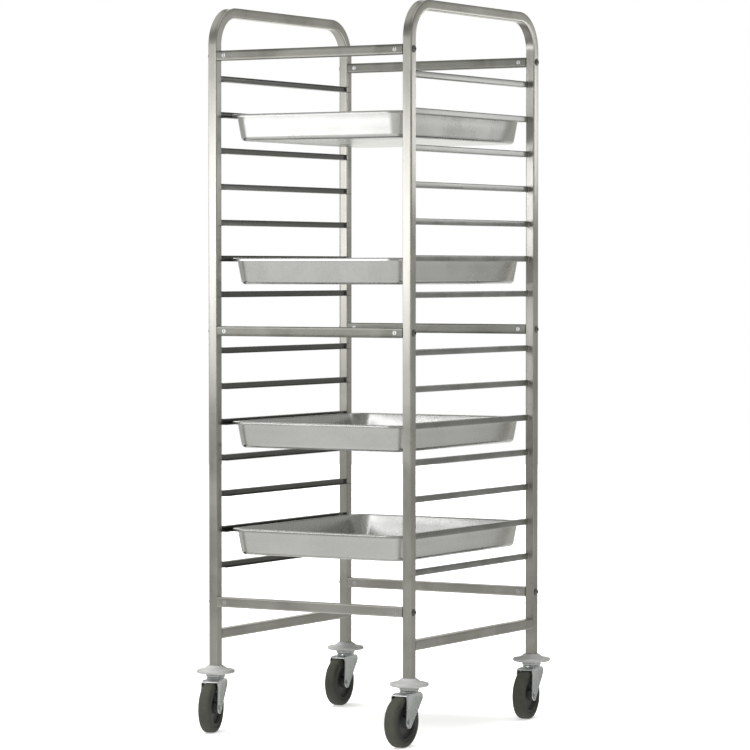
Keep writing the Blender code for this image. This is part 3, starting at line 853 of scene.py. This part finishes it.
makeFasteners()
print("fasteners: 12 bolts, 12 barrel nuts")


# runners and their welds

runner = {"sheet": 0.0015, "bend": 0.0022, "bendSteps": 4, "lower": 0.022, "upper": 0.014}
weld = {"radius": 0.0017, "length": 0.012, "ripple": 0.0024, "sides": 6}
railWeld = {"radius": 0.0019, "length": 0.020}


def runnerShape(length, height):
    # half-round bends between the web and the flanges, open towards the middle of the rack
    bend = runner["bend"]
    half = height / 2
    outline = [(runner["lower"], -half)]
    outline += arc((bend, -half + bend), bend, 270, 180, runner["bendSteps"])
    outline += arc((bend, half - bend), bend, 180, 90, runner["bendSteps"])
    outline += [(runner["upper"], half)]
    bm = bmesh.new()
    stations = [[bm.verts.new((x, sign * length / 2, z)) for x, z in outline] for sign in (-1, 1)]
    for i in range(len(outline) - 1):
        bm.faces.new((stations[0][i], stations[0][i + 1], stations[1][i + 1], stations[1][i]))
    mesh = bpy.data.meshes.new("runner_shape")
    bm.normal_update()
    if bm.faces[:][0].normal.z > 0:
        bmesh.ops.reverse_faces(bm, faces=bm.faces)
    bm.to_mesh(mesh)
    bm.free()
    item = looseObject("runner_shape", mesh)
    sheet = item.modifiers.new("sheet", "SOLIDIFY")
    sheet.thickness = runner["sheet"]
    sheet.offset = -1
    outerCount = len(mesh.vertices)
    makePlain(item, 40)
    # painted shade: marks the channel's inner faces for the darker colour that stands for their shade
    inside = item.data.attributes.new("inside", "FLOAT", "POINT")
    inside.data.foreach_set("value", [0.0 if i < outerCount else 0.9 for i in range(len(item.data.vertices))])
    return item


def weldShape(radius, length):
    # a short rippled bead, half buried in the corner that it fills
    bm = bmesh.new()
    ripples = round(length / weld["ripple"])
    steps = ripples * 4
    made = []
    for i in range(steps + 1):
        share = i / steps
        swell = sin(pi * share) ** 0.3 if 0 < share < 1 else 0.3
        around = radius * swell * (1 + 0.10 * cos(2 * pi * ripples * share))
        z = (share - 0.5) * length
        made.append([bm.verts.new((around * cos(2 * pi * k / weld["sides"]),
                                   around * sin(2 * pi * k / weld["sides"]), z)) for k in range(weld["sides"])])
    rings(bm, made)
    bm.faces.new(made[0])
    bm.faces.new(made[-1])
    return fromBmesh("weld_shape", bm, 60)


def makeRailWelds():
    beads = []
    half = tubeSide / 2
    for side in ("left", "right"):
        low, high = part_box(f"{side}_bottom_rail")
        x, z = (low.x + high.x) / 2, (low.z + high.z) / 2
        for y in (low.y, high.y):
            for sign in (-1, 1):
                beads.append(((x + sign * (half - 0.0003), y, z), (0, 0, 0)))
                beads.append(((x, y, z + sign * (half - 0.0003)), (0, pi / 2, 0)))
    shape = weldShape(railWeld["radius"], railWeld["length"])
    finishPiece(placeCopies("rail_welds", shape, beads, "railSteel"), "railSteel", "rack")


def makeRunners():
    nodes = sorted(node for node in frame["nodes"] if node.startswith("runner_"))
    low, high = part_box(nodes[0])
    shape = runnerShape(high.y - low.y, high.z - low.z)
    places, welds = [], []
    for node in nodes:
        low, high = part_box(node)
        sign = -1 if "left" in node else 1
        webX = low.x if sign < 0 else high.x
        z = (low.z + high.z) / 2
        places.append(((webX, (low.y + high.y) / 2, z), (0, 0, 0 if sign < 0 else pi)))
        for y in (low.y, high.y):
            welds.append(((webX + sign * 0.0004, y, z), (0, 0, 0)))
    item = placeCopies("runners", shape, places, "runnerSteel")
    finishPiece(item, "runnerSteel", "rack", nodes)
    beads = placeCopies("runner_welds", weldShape(weld["radius"], weld["length"]), welds, "railSteel")
    finishPiece(beads, "railSteel", "rack")


makeRunners()
makeRailWelds()
print("runners: 28, with 56 welds, and 16 welds on the rails")


# pans

pan = {"rim": 0.0125, "lip": 0.006, "draft": 0.0095, "corner": 0.060, "cornerSteps": 10, "sheet": 0.0010,
       "shoulder": 0.0030, "fillet": 0.011, "edgeRoll": 0.0022, "crown": 0.0012}


def roundedRing(bm, centre, half, inset, height):
    radius = max(pan["corner"] - inset, 0.004)
    halfX, halfY = half[0] - inset, half[1] - inset
    ring = []
    for quarter, (signX, signY) in enumerate(((1, 1), (-1, 1), (-1, -1), (1, -1))):
        for step in range(pan["cornerSteps"] + 1):
            angle = pi / 2 * (quarter + step / pan["cornerSteps"])
            x = centre[0] + signX * (halfX - radius) + radius * cos(angle)
            y = centre[1] + signY * (halfY - radius) + radius * sin(angle)
            ring.append(bm.verts.new((x, y, height)))
    return ring


def panProfile(depth):
    # (inset from the rim's outer edge, height under the rim), from the turned-down lip to the floor
    roll, shoulder, fillet = pan["edgeRoll"], pan["shoulder"], pan["fillet"]
    lean = pan["draft"] / (depth - fillet - shoulder)
    profile = [(0.0, -pan["lip"])]
    profile += arc((roll, -roll), roll, 180, 90, 5)
    profile += arc((pan["rim"] - shoulder, -shoulder), shoulder, 90, 10, 5)
    foot = pan["rim"] + pan["draft"]
    profile += [(pan["rim"] + lean * 0.018, -0.022), (pan["rim"] + lean * 0.036, -0.040)]
    profile += [(foot + fillet - fillet * cos(radians(a)), -depth + fillet - fillet * sin(radians(a)))
                for a in (0, 18, 36, 54, 72, 90)]
    return profile


def makePan(node):
    low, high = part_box(node)
    centre = ((low.x + high.x) / 2, (low.y + high.y) / 2)
    half = ((high.x - low.x) / 2, (high.y - low.y) / 2)
    depth = high.z - low.z
    bm = bmesh.new()
    made = [roundedRing(bm, centre, half, inset, high.z + height) for inset, height in panProfile(depth)]
    last = pan["rim"] + pan["draft"] + pan["fillet"]
    for share in (0.15, 0.4, 0.75):
        inset = last + (half[0] - last) * share
        made.append(roundedRing(bm, centre, half, inset, low.z + pan["crown"] * sin(pi / 2 * share)))
    rings(bm, made)
    bm.faces.new(made[-1])
    bmesh.ops.recalc_face_normals(bm, faces=bm.faces)
    bm.normal_update()
    floorFace = max(bm.faces, key=lambda face: face.calc_area())
    if floorFace.normal.z < 0:
        bmesh.ops.reverse_faces(bm, faces=bm.faces)
    mesh = bpy.data.meshes.new(node)
    bm.to_mesh(mesh)
    bm.free()
    item = looseObject(node.replace("level", "gastro"), mesh)
    sheet = item.modifiers.new("sheet", "SOLIDIFY")
    sheet.thickness = pan["sheet"]
    sheet.offset = 1
    makePlain(item, 50)
    finishPiece(item, "panSteel", bodyOf[node], [node])


panNodes = sorted(node for node in frame["nodes"] if node.startswith("pan_level_"))
for node in panNodes:
    makePan(node)
print("pans:", len(panNodes))


# castors: built on an upright axis that points forwards, then turned and moved to their corner

castor = {"sides": 48, "trail": 0.038}
bumper = {"base": 0.143, "rimLow": 0.0030, "rimHigh": 0.0125, "edge": 0.0042, "foot": 0.0290, "shoulder": 0.0330,
          "boss": 0.0200}
headPlate = {"low": 0.1365, "high": 0.1427, "radius": 0.0243, "edge": 0.0008}
# nose and heel are places in the fork's side view, as (along, below the crown)
fork = {"width": 0.046, "sheet": 0.003, "legEnd": 0.015, "inset": 0.0042, "emboss": 0.0009, "lip": 0.0013,
        "lipSides": 8, "nose": ((-0.0385, 0), (-0.0470, 0.0030), (-0.0490, 0.0062), (-0.0488, 0.0150)),
        "heel": ((0.028, 0.016), (0.028, 0.005), (0.022, 0)), "topRound": 0.0026, "edgeRound": 0.0006}
axleBolt = {"shank": 0.0040, "end": 0.0084, "nut": 0.0068, "nutHeight": 0.0060, "head": 0.0072,
            "headHeight": 0.0039, "edge": 0.0007}
wheel = {"radius": 0.0625, "width": 0.032, "coreRadius": 0.0461, "hub": 0.0135, "hubGap": 0.0006, "bore": 0.0043,
         "shoulder": 0.0075, "shoulderWidth": 0.0092, "coreSides": 64, "tyreSides": 96}


def castorPlace(corner):
    swivel = Vector(joints[f"swivel_{corner}"]["pos_m"])
    axle = joints[f"roll_{corner}"]["axis"]
    return Matrix.Translation((swivel.x, swivel.y, 0)) @ Matrix.Rotation(atan2(axle[1], axle[0]), 4, "Z")


def putAt(item, place):
    item.data.transform(place)
    item.data.update()


def makeBumper(corner, place):
    low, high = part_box(f"bumper_{corner}")
    radius = (high.x - low.x) / 2
    foot = leftLow.z - 0.0003
    base, edge = bumper["base"], bumper["edge"]
    rimLow, rimHigh = base + bumper["rimLow"], base + bumper["rimHigh"]
    profile = [(0, base), (bumper["foot"] - 0.0010, base), (bumper["foot"], base + 0.0004)]
    profile += arc((radius - edge, rimLow + edge), edge, 278, 360, 6)
    profile += arc((radius - edge, rimHigh - edge), edge, 0, 80, 6)
    shoulder, boss = bumper["shoulder"], bumper["boss"]
    profile += [(shoulder + 0.002, rimHigh + 0.0012), (shoulder, rimHigh + 0.0019)]
    profile += [(shoulder - 0.0025, rimHigh + 0.0026), (0.0270, rimHigh + 0.0042), (0.0232, rimHigh + 0.0075)]
    profile += [(boss + 0.0008, foot - 0.0016), (boss, foot - 0.0006), (boss - 0.0008, foot), (0, foot)]
    bm = bmesh.new()
    turned(bm, profile, castor["sides"])
    item = fromBmesh(f"corner_bumper_{corner}", bm, 50)
    putAt(item, place)
    finishPiece(item, "greyPlastic", "rack", [f"bumper_{corner}"])


def makeHead(corner, place):
    # fixed head plate and the swivel's upper race
    bm = bmesh.new()
    low, high, radius, edge = (headPlate[key] for key in ("low", "high", "radius", "edge"))
    profile = [(0, low), (radius - edge, low), (radius, low + edge), (radius, high - edge), (radius - edge, high),
               (0, high)]
    turned(bm, profile, castor["sides"])
    item = fromBmesh(f"swivel_head_{corner}", bm, 30)
    putAt(item, place)
    finishPiece(item, "zinc", "rack")


def forkOutline(crown):
    points = [(y, crown - below) for y, below in fork["nose"]]
    points += arc((-castor["trail"], wheel["radius"]), fork["legEnd"], 180, 336, 12)
    return points + [(y, crown - below) for y, below in fork["heel"]]


def sidePrism(outline, half):
    bm = bmesh.new()
    left = [bm.verts.new((-half, y, z)) for y, z in outline]
    right = [bm.verts.new((half, y, z)) for y, z in outline]
    rings(bm, [left, right])
    caps = [bm.faces.new(left), bm.faces.new(right)]
    bmesh.ops.recalc_face_normals(bm, faces=bm.faces)
    return bm, caps


def makeForkLip(corner, edgePoints):
    # the pressed edge that stiffens each leg
    bm = bmesh.new()
    sides = fork["lipSides"]
    count = len(edgePoints)
    for sign in (-1, 1):
        x = sign * (fork["width"] / 2 - 0.0003)
        made = []
        for i, (y, z) in enumerate(edgePoints):
            before, after = edgePoints[max(i - 1, 0)], edgePoints[min(i + 1, count - 1)]
            along = Vector((0, after[0] - before[0], after[1] - before[1])).normalized()
            inward = along.cross(Vector((1, 0, 0)))
            if inward.dot(Vector((0, -0.030 - y, 0.090 - z))) < 0:
                inward.negate()
            middle = Vector((x, y, z)) + inward * fork["lip"]
            size = fork["lip"] * (0.45 if i in (0, count - 1) else 1)
            made.append([bm.verts.new(middle + (Vector((1, 0, 0)) * cos(2 * pi * k / sides)
                                                + along.cross(Vector((1, 0, 0))) * sin(2 * pi * k / sides)) * size)
                         for k in range(sides)])
        rings(bm, made)
        bm.faces.new(made[0])
        bm.faces.new(made[-1])
    return fromBmesh(f"fork_lip_{corner}", bm, 60)


def makeFork(corner, place):
    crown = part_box(f"fork_{corner}")[1].z
    outline = forkOutline(crown)
    bm, caps = sidePrism(outline, fork["width"] / 2)
    bmesh.ops.inset_region(bm, faces=caps, thickness=fork["inset"], depth=-fork["emboss"])
    upper = [edge for edge in bm.edges if edge.calc_face_angle(0) > 1.2
             and all(abs(abs(v.co.x) - fork["width"] / 2) < 1e-5 and v.co.z > crown - 0.014 for v in edge.verts)]
    bmesh.ops.bevel(bm, geom=upper, offset=fork["topRound"], segments=4, profile=0.5, affect="EDGES")
    item = fromBmesh(f"castor_fork_{corner}", bm, 35)
    ceiling = crown - fork["sheet"]
    # the space for the wheel, open in front, below and behind
    space = [(-0.0400, ceiling), (-0.0800, ceiling - 0.0124), (-0.0800, 0.030), (0.0500, 0.030),
             (0.0500, ceiling - 0.016), (0.0245, ceiling - 0.004), (0.0215, ceiling)]
    cutter = addCut(item, "fork_space", sidePrism(space, fork["width"] / 2 - fork["sheet"])[0])
    edge = item.modifiers.new("edge", "BEVEL")
    edge.width = fork["edgeRound"]
    edge.segments = 2
    edge.angle_limit = radians(50)
    makePlain(item, 35)
    bpy.data.objects.remove(cutter)
    putAt(item, place)
    finishPiece(item, "zinc", f"fork_{corner}", [f"fork_{corner}"])
    lip = makeForkLip(corner, outline[3:-2])
    putAt(lip, place)
    finishPiece(lip, "zinc", f"fork_{corner}")
    cup = bmesh.new()
    turned(cup, [(0.0075, crown - 0.0005), (0.0225, crown - 0.0005), (0.0232, crown + 0.0003),
                 (0.0222, crown + 0.0036), (0.0210, crown + 0.0044), (0.0075, crown + 0.0044)], castor["sides"])
    race = fromBmesh(f"swivel_race_{corner}", cup, 30)
    putAt(race, place)
    finishPiece(race, "zinc", f"fork_{corner}")


def makeAxle(corner, place):
    # hexagon head on the outer side, a nut and the bolt's end on the other
    face = fork["width"] / 2
    shank, end, edge = axleBolt["shank"], -face - axleBolt["end"], axleBolt["edge"]
    bm = bmesh.new()
    lay = Matrix.Translation((0, -castor["trail"], wheel["radius"])) @ Matrix.Rotation(pi / 2, 4, "Y")
    turned(bm, [(0, end), (shank - 0.0006, end), (shank, end + 0.0006), (shank, face + 0.0010), (0, face + 0.0010)],
           24, lay)
    for low, high, radius in ((-face - axleBolt["nutHeight"], -face, axleBolt["nut"]),
                              (face, face + axleBolt["headHeight"], axleBolt["head"])):
        turned(bm, [(0, low), (radius - edge, low), (radius, low + edge * 0.6), (radius, high - edge * 0.6),
                    (radius - edge, high), (0, high)], 6, lay)
    item = fromBmesh(f"axle_bolt_{corner}", bm, 30)
    putAt(item, place)
    finishPiece(item, "zinc", f"fork_{corner}")


def makeWheel(corner, place):
    lay = place @ Matrix.Translation((0, -castor["trail"], wheel["radius"])) @ Matrix.Rotation(pi / 2, 4, "Y")
    half = wheel["width"] / 2
    hubHalf = fork["width"] / 2 - fork["sheet"] - wheel["hubGap"]
    core = wheel["coreRadius"]
    outer = [(wheel["hub"], hubHalf), (0.0142, hubHalf - 0.0007), (0.0155, 0.0090), (0.0175, 0.0078)]
    outer += [(0.0350, 0.0070), (0.0378, 0.0078), (0.0400, half - 0.0030), (0.0412, half - 0.0018)]
    outer += [(0.0420, half - 0.0015), (core - 0.0004, half - 0.0015), (core, half - 0.0022)]
    bore = wheel["bore"]
    profile = [(bore, hubHalf)] + outer + [(r, -h) for r, h in reversed(outer)] + [(bore, -hubHalf)]
    bm = bmesh.new()
    turned(bm, profile, wheel["coreSides"])
    item = fromBmesh(f"wheel_centre_{corner}", bm, 40)
    putAt(item, lay)
    finishPiece(item, "coreBlack", f"wheel_{corner}", [f"wheel_core_{corner}"])
    radius, shoulder, shoulderWidth = wheel["radius"], wheel["shoulder"], wheel["shoulderWidth"]
    outer = [(core + 0.0003, half - 0.0026), (core + 0.0012, half - 0.0010), (core + 0.0030, half - 0.0004)]
    outer += [(radius - 0.0110, half)]
    outer += [(radius - shoulder + shoulder * sin(radians(a)),
               half - shoulderWidth + shoulderWidth * cos(radians(a))) for a in (12, 28, 44, 60, 74, 84)]
    outer += [(radius, 0.0042), (radius + 0.00002, 0.0012)]
    profile = outer + [(r, -h) for r, h in reversed(outer)]
    bm = bmesh.new()
    turned(bm, profile, wheel["tyreSides"])
    item = fromBmesh(f"wheel_tyre_{corner}", bm, 50)
    putAt(item, lay)
    finishPiece(item, "rubber", f"wheel_{corner}", [f"tyre_{corner}"])


for corner in corners:
    place = castorPlace(corner)
    makeBumper(corner, place)
    makeHead(corner, place)
    makeFork(corner, place)
    makeAxle(corner, place)
    makeWheel(corner, place)
print("castors:", len(corners))
